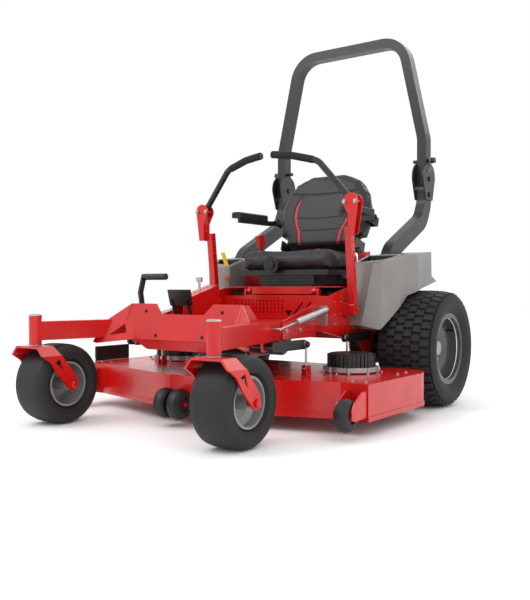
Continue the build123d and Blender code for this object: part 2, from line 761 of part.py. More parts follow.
with BuildPart() as hinge_plates:
    for x in (LEG_X - ROPS_WIDE / 2 - HINGE_PLATE - GAP, LEG_X + ROPS_WIDE / 2 + GAP):
        with BuildSketch(side_plane(x)):
            outline([(HOOP_Y - 82, 1130), (HOOP_Y - 44, 1020), (HOOP_Y + 40, 1020), (HOOP_Y + 71, 1130)])
            with Locations((HOOP_Y - 5, HOOP_HINGE_Z + 10)):
                Circle(76)
        extrude(amount=HINGE_PLATE)
    for z in (1048, HOOP_HINGE_Z):
        with BuildSketch(side_plane(LEG_X - ROPS_WIDE / 2 - HINGE_PLATE - 8)):
            with Locations((HOOP_Y, z)):
                RegularPolygon(14, 6)
        extrude(amount=8)
        with BuildSketch(side_plane(LEG_X - ROPS_WIDE / 2 - HINGE_PLATE)):
            with Locations((HOOP_Y, z)):
                Circle(PIN_R)
        extrude(amount=ROPS_WIDE + 2 * HINGE_PLATE)
        with BuildSketch(side_plane(LEG_X + ROPS_WIDE / 2 + HINGE_PLATE)):
            with Locations((HOOP_Y, z)):
                RegularPolygon(14, 6)
        extrude(amount=8)
    with BuildSketch(side_plane(LEG_X - ROPS_WIDE / 2 - 20)):
        with Locations((HOOP_Y, LOCK_Z)):
            Circle(PIN_R + GAP)
    extrude(amount=ROPS_WIDE + 40, mode=Mode.SUBTRACT)
    mirror(about=Plane.YZ)
    add(leg.part, mode=Mode.SUBTRACT)
save_group([leg.part, hinge_plates.part], "rops_legs_and_hinges")

with BuildPart() as hoop:
    with BuildLine() as hoop_line:
        half_hoop = [(LEG_X, HOOP_Y, 1098), (LEG_X, HOOP_Y, 1345), (322, HOOP_Y, HOOP_TOP - ROPS_WIDE / 2)]
        FilletPolyline(*half_hoop, *[(-x, y, z) for x, y, z in half_hoop[::-1]], radius=140)
    with BuildSketch(Plane.XY.offset(1098)):
        with Locations((LEG_X, HOOP_Y)):
            Rectangle(ROPS_WIDE, HOOP_DEEP)
            Rectangle(ROPS_WIDE - 2 * ROPS_WALL, HOOP_DEEP - 2 * ROPS_WALL, mode=Mode.SUBTRACT)
    sweep(path=hoop_line.wires()[0])
    for z, radius in ((HOOP_HINGE_Z, PIN_R + RUNNING), (LOCK_Z, PIN_R + GAP)):
        with BuildSketch(side_plane(-LEG_X - 40)):
            with Locations((HOOP_Y, z)):
                Circle(radius)
        extrude(amount=2 * LEG_X + 80, mode=Mode.SUBTRACT)
with BuildPart() as lock_pins:
    pin_low, pin_high = LEG_X - 58, LEG_X + 42
    with BuildSketch(wheel_plane(0, HOOP_Y, LOCK_Z)) as pin_half:
        knob_edge = [(pin_high, 16), (pin_high + 20, 14), (pin_high + 20, 0)]
        outline([(pin_low, 0), (pin_low, PIN_R), (pin_high, PIN_R)] + knob_edge)
    revolve(pin_half.sketch, axis=along_x(HOOP_Y, LOCK_Z))
    mirror(about=Plane.YZ)
save_group([hoop.part, lock_pins.part], "rops_hoop")

# Fenders: hollow faceted mouldings over the fronts of the rear wheels
FENDER_SIDE = [
    (231, 388), (250, 670), (395, 713), (606, 735), (612, 619),
    (672, 593), (487, 556), (385, 524), (308, 427), (258, 369),
]
FENDER_FLARE = [(420, 232), (505, 262), (560, 345), (600, 450), (600, 690)]
CONSOLE_PLAN = [(372, 268), (500, 308), (545, 398), (372, 398)]
with BuildPart() as fender:
    for inset in (0, SHEET):
        keep = Mode.SUBTRACT if inset else Mode.ADD
        with BuildPart(mode=keep):
            with BuildSketch(Plane.XY.offset(350)):
                outline([(CONSOLE_IN, 222)] + FENDER_FLARE + [(CONSOLE_IN, 690)])
                if inset:
                    offset(amount=-inset, kind=Kind.INTERSECTION, mode=Mode.REPLACE)
            extrude(amount=420)
            with BuildSketch(side_plane(300)):
                outline(FENDER_SIDE)
                if inset:
                    offset(amount=-inset, kind=Kind.INTERSECTION, mode=Mode.REPLACE)
            extrude(amount=400, mode=Mode.INTERSECT)
    with BuildSketch(Plane.XY.offset(560)):
        with Locations((LEG_X, 490)):
            Rectangle(ROPS_WIDE + 6, 150)
    extrude(amount=300, mode=Mode.SUBTRACT)
    with BuildSketch(side_plane(350)):
        with Locations((455, 600)):
            Rectangle(90, 80)
    extrude(amount=60, mode=Mode.SUBTRACT)
    # relief notch in the lower front corner, where the rear lift arm rises at full height
    with BuildSketch(Plane.XY.offset(360)):
        with Locations((388, 248)):
            Rectangle(28, 56)
    extrude(amount=28, mode=Mode.SUBTRACT)
    with BuildSketch(Plane.XY.offset(630)):
        outline(CONSOLE_PLAN)
        offset(amount=GAP, kind=Kind.INTERSECTION, mode=Mode.REPLACE)
    extrude(amount=200, mode=Mode.SUBTRACT)
    mirror(about=Plane.YZ)
save(fender.part, "fenders")

# Side consoles: a storage tray let into each fender's top
with BuildPart() as console:
    with BuildSketch(Plane.XY.offset(640)):
        outline(CONSOLE_PLAN)
    extrude(amount=120)
    with BuildSketch(side_plane(CONSOLE_IN)):
        outline([(250, 640), (250, 670), (395, 713), (410, 714.6), (410, 640)])
    extrude(amount=220, mode=Mode.INTERSECT)
    with BuildSketch(Plane.XY.offset(650)):
        outline(CONSOLE_PLAN)
        offset(amount=-10, kind=Kind.INTERSECTION, mode=Mode.REPLACE)
    extrude(amount=120, mode=Mode.SUBTRACT)
    mirror(about=Plane.YZ)
save(console.part, "consoles")

# Controls standing in the trays: three knobs on the left, the isolator's stem on the right
with BuildPart() as controls:
    with BuildSketch(Plane.XY.offset(650 + GAP)):
        with Locations((400, 375), (430, 375), (460, 375), (-405, 375)):
            Circle(9)
    extrude(amount=50)
save(controls.part, "console_controls")

# Rear cover behind the seat, with louvres in its back
with BuildPart() as rear_cover:
    with BuildSketch(side_plane(-345)):
        outline([(652, 441), (652, 612), (700, 640), (820, 640), (890, 560), (890, 441)])
    extrude(amount=690)
    with BuildSketch(side_plane(-341)):
        outline([(656, 400), (656, 610), (701, 636), (818, 636), (886, 559), (886, 400)])
    extrude(amount=682, mode=Mode.SUBTRACT)
    for z in range(440, 551, 22):
        with BuildSketch(Plane.XY.offset(z)):
            with Locations((-150, 888), (150, 888)):
                Rectangle(240, 20)
        extrude(amount=9, mode=Mode.SUBTRACT)
save(rear_cover.part, "rear_cover")

# Drive levers: mounts on the frame, drilled posts with their top brackets, bent grips
with BuildPart() as mounts:
    with BuildSketch(side_plane(PLATE_OUT)):
        with Locations((LEVER_PIVOT_Y, LEVER_PIVOT_Z)):
            RectangleRounded(48, 70, 10)
    extrude(amount=POST_X - POST_WIDE / 2 - 2 - PLATE_OUT)
    with BuildSketch(side_plane(370)):
        with Locations((LEVER_PIVOT_Y, LEVER_PIVOT_Z)):
            Circle(LEVER_PIN_R)
    extrude(amount=56)
    mirror(about=Plane.YZ)

with BuildPart() as post:
    with BuildSketch(side_plane(POST_X - POST_WIDE / 2)):
        outline(strip([POST_FOOT, POST_HEAD], POST_WIDE))
        with Locations((LEVER_PIVOT_Y, LEVER_PIVOT_Z)):
            RectangleRounded(44, 50, 8)
            Circle(LEVER_PIN_R + RUNNING, mode=Mode.SUBTRACT)
        for step in range(6):
            drop = (POST_FOOT[0] - POST_HEAD[0]) * step * 0.12
            with Locations((POST_HEAD[0] + drop + 3, POST_HEAD[1] - 28 - 43 * step)):
                Circle(5, mode=Mode.SUBTRACT)
    extrude(amount=POST_WIDE)
with BuildPart() as bracket:
    for y in (112, 156):
        with BuildSketch(front_plane(y)):
            outline([(WEB_X, 800), (WEB_X + 28, 800), (GRIP_X + 36, 935), (GRIP_X - 36, 935), (WEB_X, 885)])
            with Locations((GRIP_X, GRIP_Z)):
                Circle(38)
        extrude(amount=4)
    with BuildSketch(side_plane(WEB_X)):
        with Locations((132, 842)):
            Rectangle(48, 84)
    extrude(amount=4)
    for x in (GRIP_X - 28, GRIP_X + 28):
        with BuildSketch(front_plane(161)):
            with Locations((x, GRIP_Z)):
                Circle(4)
        extrude(amount=58)
        with BuildSketch(front_plane(108)):
            with Locations((x, GRIP_Z)):
                RegularPolygon(8, 6)
        extrude(amount=5)
    with BuildSketch(front_plane(156)):
        with Locations((GRIP_X, GRIP_Z)):
            Circle(5)
    extrude(amount=48)
    for y, z in ((139, 870), (141, 822)):
        with BuildSketch(side_plane(WEB_X + 4)):
            with Locations((y, z)):
                RegularPolygon(8, 6)
        extrude(amount=6)
for hand, about in (("left", None), ("right", Plane.YZ)):
    pieces = [post.part, bracket.part]
    if about:
        pieces = [piece.mirror(about) for piece in pieces]
    save_group(pieces, "lever_post_" + hand)

with BuildPart() as grip:
    with BuildLine() as grip_line:
        FilletPolyline(*GRIP_ROUTE, radius=70)
    with BuildSketch(Plane(GRIP_ROUTE[0], z_dir=grip_line.line % 0)):
        Circle(GRIP_R)
    sweep(path=grip_line.wires()[0])
    with BuildSketch(front_plane(165)):
        with Locations((GRIP_X, GRIP_Z)):
            Circle(5 + RUNNING)
    extrude(amount=80, mode=Mode.SUBTRACT)
save_pair(grip.part, "lever_grip")

# Seat: tilting platform, sliding base, cushion, back on its frame, armrests
with BuildPart() as platform:
    with BuildSketch(Plane.XY.offset(563)):
        with Locations((0, 416)):
            Rectangle(660, 448)
    extrude(amount=4)
    with BuildSketch(front_plane(196)):
        with Locations((0, 548)):
            Rectangle(350, 34)
    extrude(amount=4)
    for x in (-200, 180):
        with BuildSketch(side_plane(x)):
            with Locations(SEAT_HINGE):
                Circle(14)
            with Locations((205, 555)):
                Rectangle(26, 20)
            with Locations(SEAT_HINGE):
                Circle(6 + RUNNING, mode=Mode.SUBTRACT)
        extrude(amount=20)
save(platform.part, "seat_platform")

with BuildPart() as seat_mount:
    with BuildSketch(Plane.XY.offset(522.3)):
        with Locations((0, 209)):
            Rectangle(440, 46)
    extrude(amount=4)
    for x in (-216, 206):
        with BuildSketch(side_plane(x)):
            with Locations(SEAT_HINGE):
                Circle(13)
            with Locations((SEAT_HINGE[0], 534)):
                Rectangle(26, 22)
        extrude(amount=10)
    for x in (-216, 179):
        with BuildSketch(side_plane(x)):
            with Locations(SEAT_HINGE):
                Circle(6)
        extrude(amount=37)
    with BuildSketch(side_plane(-PLATE_X + GAP)):
        with Locations((630, 451)):
            Rectangle(30, 20)
    extrude(amount=2 * PLATE_X - 2 * GAP)
    with BuildSketch(Plane.XY.offset(461)):
        with Locations((-230, 628), (230, 628)):
            Rectangle(24, 22)
    extrude(amount=101.7)

with BuildPart() as base:
    with BuildSketch(Plane.XY.offset(567.3)):
        with Locations((0, 388)):
            Rectangle(300, 300)
    extrude(amount=14)
    for level in range(4):
        with BuildSketch(Plane.XY.offset(579 + 15 * level)):
            with Locations((0, 388)):
                RectangleRounded(330, 320, 20)
        extrude(amount=9)
        with BuildSketch(Plane.XY.offset(586 + 15 * level)):
            with Locations((0, 388)):
                RectangleRounded(310, 300, 20)
        extrude(amount=10)
    with BuildSketch(Plane.XY.offset(622)):
        with Locations((0, 388)):
            Rectangle(500, 345)
    extrude(amount=26)
    for x in (-238, 232):
        with BuildSketch(side_plane(x)):
            outline([(545, 640), (546, 748), (586, 748), (590, 640)])
            with Locations(RECLINE):
                Circle(20)
            with Locations(RECLINE):
                Circle(8 + RUNNING, mode=Mode.SUBTRACT)
        extrude(amount=6)
    with BuildSketch(Plane.XY.offset(640)):
        with Locations((0, 565)):
            Rectangle(476, 50)
    extrude(amount=8)
save(base.part, "seat_base")

with BuildPart() as cushion:
    with BuildSketch(side_plane(-CUSHION_HALF)):
        outline([(205, 660), (197, 690), (203, 725), (222, 742), (420, 722), (540, 736),
                 (540, 660), (500, 652), (230, 652)])
    extrude(amount=2 * CUSHION_HALF)
    with BuildSketch(Plane.XY.offset(650)):
        with Locations((0, 368)):
            RectangleRounded(2 * CUSHION_HALF, 344, 60)
            with Locations((0, 150)):
                Rectangle(510, 60)
    extrude(amount=100, mode=Mode.INTERSECT)
save(cushion.part, "seat_cushion")

back_plane = Plane((0, BACK_FOOT[0], BACK_FOOT[1]), x_dir=(1, 0, 0), z_dir=(0, 0.9607, -0.278))
with BuildPart() as back:
    with BuildSketch(back_plane):
        half_back = [(222, 0), (222, -60), (270, -75), (284, -130), (284, -250)]
        half_back += [(258, -330), (205, -400), (110, -442)]
        outline(half_back + [(-x, y) for x, y in half_back[::-1]])
    extrude(amount=BACK_THICK)
save(back.part, "seat_back")

with BuildPart() as back_frame:
    with BuildSketch(back_plane.offset(BACK_THICK + GAP)):
        with Locations((0, -160)):
            Rectangle(400, 300)
        with Locations((0, -170)):
            Rectangle(579, 44)
        with Locations((0, -35)):
            Rectangle(460, 50)
    extrude(amount=4)
    for x, near, height, wide, thick in ((224, RECLINE, 35, 50, 6), (285.6, ARMREST_PIVOT, 170, 44, 4)):
        with BuildSketch(back_plane) as tab:
            with Locations((x + thick / 2, -height)):
                Rectangle(thick, wide)
        extrude(tab.sketch, amount=BACK_THICK + 4)
        with BuildSketch(side_plane(x)):
            with Locations(near):
                Circle(18)
        extrude(amount=thick)
        with BuildSketch(side_plane(x)):
            with Locations(near):
                Circle(8)
        extrude(amount=thick + 10)
    mirror(about=Plane.YZ)
save(back_frame.part, "seat_back_frame")

with BuildPart() as armrest:
    with BuildSketch(side_plane(291)):
        outline(strip([ARMREST_PIVOT, (520, 908.5), (250, 908.5)], 26))
        with Locations(ARMREST_PIVOT):
            Circle(19)
            Circle(8 + RUNNING, mode=Mode.SUBTRACT)
    extrude(amount=15)
save_pair(armrest.part, "armrest")
with BuildPart() as pad:
    with BuildSketch(Plane.XY.offset(921.8)):
        with Locations((320, 378)):
            RectangleRounded(58, 274, 22)
    extrude(amount=30)
    fillet(pad.edges().group_by(Axis.Z)[-1], 9)
save_pair(pad.part, "armrest_pad")

with BuildPart() as knob:
    with BuildSketch(front_plane(190)):
        with Locations((-50, 673)):
            Circle(42)
    extrude(amount=14)
    with BuildSketch(front_plane(176)):
        with Locations((-50, 673)):
            Circle(20)
    extrude(amount=8)
save(knob.part, "seat_knob")

with BuildPart() as belt:
    with BuildSketch(side_plane(-287)):
        with Locations((567, 672)):
            Rectangle(40, 36)
    extrude(amount=48.7)
    with BuildSketch(side_plane(-292)):
        outline(strip([(580, 668), (480, 710), (432, 788)], 26))
    extrude(amount=5)
    with BuildSketch(side_plane(-302)):
        outline(strip([(436, 780), (418, 840)], 50))
    extrude(amount=24)
    with BuildSketch(side_plane(238.3)):
        outline([(545, 655), (545, 735), (590, 745), (590, 655)])
    extrude(amount=40)
save(belt.part, "seat_belt")

# Pedals, height quadrant and its pin
with BuildPart() as deck_pedal:
    rod((-294, -470, 440), (-216, -470, 440), 9)
    with BuildSketch(side_plane(-284)):
        outline(strip([(-470, 440), (-488, 540), (-466, 614)], 24))
        with Locations((-470, 440)):
            Circle(20)
    extrude(amount=10)
    rod((-284, -466, 608), (-150, -466, 608), 14)
save(deck_pedal.part, "deck_pedal")

with BuildPart() as pedal_posts:
    for x in (-294, -224):
        with BuildSketch(side_plane(x)):
            with Locations((-470, 440)):
                Circle(16)
            with Locations((-470, 418)):
                Rectangle(30, 15)
            with Locations((-470, 440)):
                Circle(9 + RUNNING, mode=Mode.SUBTRACT)
        extrude(amount=8)
    for x in (-262, -118):
        with BuildSketch(side_plane(x)):
            outline([(-324, FLOOR_TOP + GAP), (-324, 442), (-298, 442), (-280, FLOOR_TOP + GAP)])
            with Locations((-311, 430)):
                Circle(5 + RUNNING, mode=Mode.SUBTRACT)
        extrude(amount=6)
brackets = [hangers.part, mounts.part, seat_mount.part, pedal_posts.part]
save_group(brackets, "chassis_brackets")

with BuildPart() as brake_pedal:
    rod((-262, -311, 430), (-112, -311, 430), 5)
    with BuildSketch(side_plane(-236)):
        outline(strip([(-311, 430), (-333, 510)], 18))
    extrude(amount=6)
    with BuildSketch(side_plane(-146)):
        outline(strip([(-311, 430), (-333, 510)], 18))
    extrude(amount=6)
    with BuildSketch(side_plane(-250)):
        outline(strip([(-326, 482), (-345, 552)], 8))
    extrude(amount=130)
save(brake_pedal.part, "brake_pedal")

with BuildPart() as quadrant:
    with BuildSketch(side_plane(-285)):
        outline([(-275, FLOOR_TOP + GAP), (-275, 505), (-22, 575), (-22, FLOOR_TOP + GAP)])
    extrude(amount=70)
    with BuildSketch(side_plane(-281)):
        outline([(-285, 400), (-285, 500), (-10, 571), (-10, 400)])
    extrude(amount=62, mode=Mode.SUBTRACT)
    for step in range(8):
        with BuildSketch(Plane.XY.offset(480)):
            with Locations((-250, -246 + 30 * step)):
                Circle(6.3)
        extrude(amount=110, mode=Mode.SUBTRACT)
save(quadrant.part, "height_quadrant")
with BuildPart() as height_pin:
    with BuildSketch(Plane.XY.offset(530)):
        with Locations((-250, -126)):
            Circle(6)
    extrude(amount=60)
    with BuildSketch(Plane.XY.offset(588)):
        with Locations((-250, -126)):
            Circle(15)
    extrude(amount=22)
save(height_pin.part, "height_pin")

# Discharge chute: a ribbed guard, folded up, hinged along the deck's right edge
with BuildPart() as chute:
    with BuildSketch(side_plane(-CHUTE_X)):
        with Locations((-192, 239)):
            Rectangle(224, 68)
    extrude(amount=6)
    rod((-762, -304, 204.5), (-762, -80, 204.5), 4)
    for y in (-300, -228, -156, -84):
        with BuildSketch(side_plane(-DECK_HALF)):
            with Locations((y, 242)):
                Rectangle(6, 56)
        extrude(amount=DECK_HALF - CHUTE_X + 2)
save(chute.part, "discharge_chute")
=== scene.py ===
import logging
from dataclasses import dataclass
from enum import Enum
from math import cos, pi, radians, sin

import bmesh
import bpy
from mathutils import Matrix, Vector


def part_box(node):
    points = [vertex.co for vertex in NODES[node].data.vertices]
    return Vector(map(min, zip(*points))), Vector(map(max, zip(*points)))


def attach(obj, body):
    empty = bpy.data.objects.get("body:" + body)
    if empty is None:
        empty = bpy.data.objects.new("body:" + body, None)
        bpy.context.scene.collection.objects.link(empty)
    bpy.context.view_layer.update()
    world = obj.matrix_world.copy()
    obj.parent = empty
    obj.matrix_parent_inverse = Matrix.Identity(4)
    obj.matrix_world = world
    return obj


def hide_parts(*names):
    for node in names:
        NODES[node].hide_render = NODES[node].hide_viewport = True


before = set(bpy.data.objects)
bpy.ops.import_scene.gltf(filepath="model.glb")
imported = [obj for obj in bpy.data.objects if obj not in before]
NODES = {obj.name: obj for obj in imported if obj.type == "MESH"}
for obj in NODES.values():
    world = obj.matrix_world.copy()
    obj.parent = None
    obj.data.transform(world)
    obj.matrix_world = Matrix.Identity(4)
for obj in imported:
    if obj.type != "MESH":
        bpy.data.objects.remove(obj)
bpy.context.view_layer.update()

LOG = logging.getLogger("mower")
MM = 0.001

Point = tuple[float, float, float]
Colour = tuple[float, float, float, float]


class Side(Enum):
    """The two hands of the machine, by the sign of their X."""

    LEFT = 1
    RIGHT = -1

    @property
    def word(self) -> str:
        """The hand's name as the bodies and nodes spell it."""
        return self.name.lower()


def linear(code: str) -> Colour:
    """Turns an sRGB hex colour into linear light.

    Args:
        code: Six hex digits, with or without a leading hash.

    Returns:
        Red, green, blue and an alpha of one.
    """
    digits = code.lstrip("#")
    channels = [int(digits[i : i + 2], 16) / 255 for i in (0, 2, 4)]
    light = [c / 12.92 if c <= 0.04045 else ((c + 0.055) / 1.055) ** 2.4 for c in channels]
    return (light[0], light[1], light[2], 1.0)


def add_node(
    tree: bpy.types.NodeTree,
    kind: str,
    settings: dict[str, object] | None = None,
    links: dict[str, bpy.types.NodeSocket] | None = None,
) -> bpy.types.Node:
    """Adds one shader node.

    Args:
        tree: Node tree that takes it.
        kind: Node type, such as ShaderNodeBump.
        settings: Attribute or input name to value; inputs may be named by number too.
        links: Input name to the output socket that feeds it.

    Returns:
        The new node.
    """
    node = tree.nodes.new(kind)
    for key, value in (settings or {}).items():
        if isinstance(key, int) or key in node.inputs:
            node.inputs[key].default_value = value
        else:
            setattr(node, key, value)
    for key, socket in (links or {}).items():
        tree.links.new(socket, node.inputs[key])
    return node


# Finishes


@dataclass(frozen=True)
class Finish:
    """A surface of one real material.

    The grain is noise in the piece's own metres: it breaks up the highlight by a little
    bump, and its broad octave varies the roughness as handling and dust do.
    """

    name: str
    colour: str
    roughness: float
    metallic: float = 0.0
    coat: float = 0.0
    grain_mm: float = 3.0
    grain_height_mm: float = 0.02
    patch_mm: float = 120.0
    patch: float = 0.06
    shade: str = ""

    def base_colour(self, tree: bpy.types.NodeTree, place: bpy.types.NodeSocket) -> object:
        """Gives the colour, mottled between colour and shade where a shade is set.

        Args:
            tree: Material's node tree.
            place: Object coordinates in metres.

        Returns:
            A socket, or None where the colour is the same all over.
        """
        if not self.shade:
            return None
        noise = add_node(
            tree,
            "ShaderNodeTexNoise",
            {"Scale": 1 / (self.patch_mm * MM), "Detail": 3.0},
            {"Vector": place},
        )
        ramp = add_node(
            tree,
            "ShaderNodeMapRange",
            {"From Min": 0.42, "From Max": 0.68},
            {"Value": noise.outputs["Fac"]},
        )
        mix = add_node(tree, "ShaderNodeMix", {"data_type": "RGBA"}, {0: ramp.outputs[0]})
        mix.inputs[6].default_value = linear(self.colour)
        mix.inputs[7].default_value = linear(self.shade)
        return mix.outputs[2]

    def height(self, tree: bpy.types.NodeTree, place: bpy.types.NodeSocket) -> bpy.types.NodeSocket:
        """Gives the relief of the surface, from 0 to 1."""
        noise = add_node(
            tree,
            "ShaderNodeTexNoise",
            {"Scale": 1 / (self.grain_mm * MM), "Detail": 2.0},
            {"Vector": place},
        )
        return noise.outputs["Fac"]

    def build(self) -> bpy.types.Material:
        """Makes the material, or returns it if it is there already."""
        if self.name in bpy.data.materials:
            return bpy.data.materials[self.name]
        material = bpy.data.materials.new(self.name)
        material.use_nodes = True
        tree = material.node_tree
        shader = tree.nodes["Principled BSDF"]
        shader.inputs["Base Color"].default_value = linear(self.colour)
        shader.inputs["Metallic"].default_value = self.metallic
        shader.inputs["Coat Weight"].default_value = self.coat
        shader.inputs["Coat Roughness"].default_value = 0.12
        place = add_node(tree, "ShaderNodeTexCoord").outputs["Object"]
        colour = self.base_colour(tree, place)
        if colour is not None:
            tree.links.new(colour, shader.inputs["Base Color"])
        wear = add_node(
            tree,
            "ShaderNodeTexNoise",
            {"Scale": 1 / (self.patch_mm * MM), "Detail": 4.0},
            {"Vector": place},
        )
        rough = add_node(
            tree,
            "ShaderNodeMapRange",
            {"To Min": self.roughness - self.patch, "To Max": self.roughness + self.patch},
            {"Value": wear.outputs["Fac"]},
        )
        tree.links.new(rough.outputs[0], shader.inputs["Roughness"])
        bump = add_node(
            tree,
            "ShaderNodeBump",
            {"Strength": 0.6, "Distance": self.grain_height_mm * MM},
            {"Height": self.height(tree, place)},
        )
        tree.links.new(bump.outputs[0], shader.inputs["Normal"])
        return material


@dataclass(frozen=True)
class PowderCoat(Finish):
    """Baked powder on steel: a glossy colour with a faint orange peel in the highlight."""

    coat: float = 0.35
    grain_mm: float = 2.2
    grain_height_mm: float = 0.03


@dataclass(frozen=True)
class MouldedPlastic(Finish):
    """Injection-moulded plastic: a fine spark-eroded grain that scatters the light."""

    grain_mm: float = 1.4
    grain_height_mm: float = 0.06


@dataclass(frozen=True)
class BareMetal(Finish):
    """Zinc-plated, cast or machined metal: dim and broad reflections with cloudy patches."""

    metallic: float = 1.0
    grain_mm: float = 1.0
    grain_height_mm: float = 0.02
    patch_mm: float = 30.0
    patch: float = 0.1


@dataclass(frozen=True)
class TyreRubber(Finish):
    """Vulcanised rubber: nearly black, dull, with dust in its broad patches."""

    grain_mm: float = 1.2
    grain_height_mm: float = 0.08
    patch: float = 0.08


@dataclass(frozen=True)
class GrainedVinyl(Finish):
    """Embossed vinyl upholstery: small raised cells, drawn at 3 mm so that they show."""

    grain_mm: float = 3.0
    grain_height_mm: float = 0.16

    def height(self, tree: bpy.types.NodeTree, place: bpy.types.NodeSocket) -> bpy.types.NodeSocket:
        """Gives leather-like cells in place of plain noise."""
        cells = add_node(
            tree,
            "ShaderNodeTexVoronoi",
            {"Scale": 1 / (self.grain_mm * MM)},
            {"Vector": place},
        )
        return cells.outputs["Distance"]


RED = PowderCoat("red_powder_coat", "#C40C07", 0.28, coat=0.2, shade="#B80A06")
GREY_PAINT = PowderCoat("charcoal_powder_coat", "#18191B", 0.42, coat=0.1)
BLACK_PAINT = PowderCoat("black_powder_coat", "#111113", 0.40, coat=0.1)
BLACK_PLASTIC = MouldedPlastic("black_abs", "#121214", 0.50)
SILVER_PLASTIC = MouldedPlastic("silver_grey_abs", "#8C8A87", 0.34, metallic=0.35, shade="#868481")
RED_PLASTIC = MouldedPlastic("red_abs", "#C01510", 0.36)
YELLOW_PLASTIC = MouldedPlastic("yellow_nylon", "#E2C400", 0.42)
ORANGE_PLASTIC = MouldedPlastic("orange_nylon", "#E06A10", 0.42)
ZINC = BareMetal("zinc_plated_steel", "#B9B8B2", 0.34)
STAINLESS = BareMetal("polished_steel_ring", "#D2D2D0", 0.22)
ALLOY = BareMetal("cast_aluminium", "#B4B5B6", 0.42)
RIM_GREY = PowderCoat("grey_wheel_enamel", "#8E8F8F", 0.38, coat=0.15, metallic=0.3)
RIM_DARK = PowderCoat("dark_wheel_enamel", "#555658", 0.40, coat=0.15, metallic=0.3)
BLADE_STEEL = BareMetal("ground_blade_steel", "#8B8A86", 0.38)
FRONT_RUBBER = TyreRubber("smooth_tyre_rubber", "#121213", 0.62)
TREAD_RUBBER = TyreRubber("turf_tyre_rubber", "#161617", 0.70)
GRIP_FOAM = TyreRubber("nitrile_foam", "#141415", 0.82, grain_height_mm=0.15)
VINYL = GrainedVinyl("charcoal_vinyl", "#1B1B1D", 0.48)
VINYL_INSERT = GrainedVinyl("grey_perforated_vinyl", "#2F2F32", 0.55, grain_mm=4.0)
RED_VINYL = GrainedVinyl("red_vinyl", "#D01A12", 0.42)

CAD_FINISHES: dict[Finish, tuple[str, ...]] = {
    RED: (
        "frame", "side_plates", "floor_panels", "front_plate", "deck_shell", "chassis_brackets",
        "caster_fork_left", "caster_fork_right", "lever_post_left", "lever_post_right",
        "deck_brackets", "height_quadrant", "seat_platform",
    ),
    GREY_PAINT: ("rops_legs_and_hinges", "rops_hoop", "lever_grip_left", "lever_grip_right"),
    BLACK_PAINT: (
        "lift_shaft_front", "lift_shaft_rear", "drive_units", "blade_motors", "seat_base",
        "seat_back_frame", "deck_pedal", "brake_pedal", "armrest_left", "armrest_right",
    ),
    BLACK_PLASTIC: (
        "consoles", "rear_cover", "battery_packs", "scalp_wheel_left", "scalp_wheel_right",
        "scalp_wheels_front", "seat_knob", "discharge_chute", "armrest_pad_left",
        "armrest_pad_right", "console_controls",
    ),
    SILVER_PLASTIC: ("fenders",),
    RED_PLASTIC: ("seat_belt",),
    ZINC: ("caster_bearings_and_caps", "lift_links", "assist_springs", "wheel_hub_left",
           "wheel_hub_right", "height_pin"),
    ALLOY: ("motor_rings",),
    RIM_GREY: ("front_rim_left", "front_rim_right"),
    RIM_DARK: ("rear_rim_left", "rear_rim_right"),
    BLADE_STEEL: ("blade_left", "blade_centre", "blade_right"),
    FRONT_RUBBER: ("front_tyre_left", "front_tyre_right"),
}


# Meshes


def make_piece(
    name: str,
    verts: list[Point],
    faces: list[tuple[int, ...]],
    finish: Finish,
    smooth: bool = True,
) -> bpy.types.Object:
    """Makes a mesh object in the shared frame.

    Args:
        name: Name of the piece.
        verts: Corners in metres.
        faces: Corner numbers of each face.
        finish: What it is made of.
        smooth: Whether its shading is smooth.

    Returns:
        The object, linked to the scene.
    """
    mesh = bpy.data.meshes.new(name)
    mesh.from_pydata(verts, [], faces)
    piece = bpy.data.objects.new(name, mesh)
    bpy.context.scene.collection.objects.link(piece)
    mesh.materials.append(finish.build())
    shade(piece, smooth)
    return piece


def shade(piece: bpy.types.Object, smooth: bool = True, edge: float = 35.0) -> None:
    """Shades a piece smooth, with its edges above an angle kept sharp."""
    piece.data.shade_smooth() if smooth else piece.data.shade_flat()
    if smooth:
        piece.data.set_sharp_from_angle(angle=radians(edge))


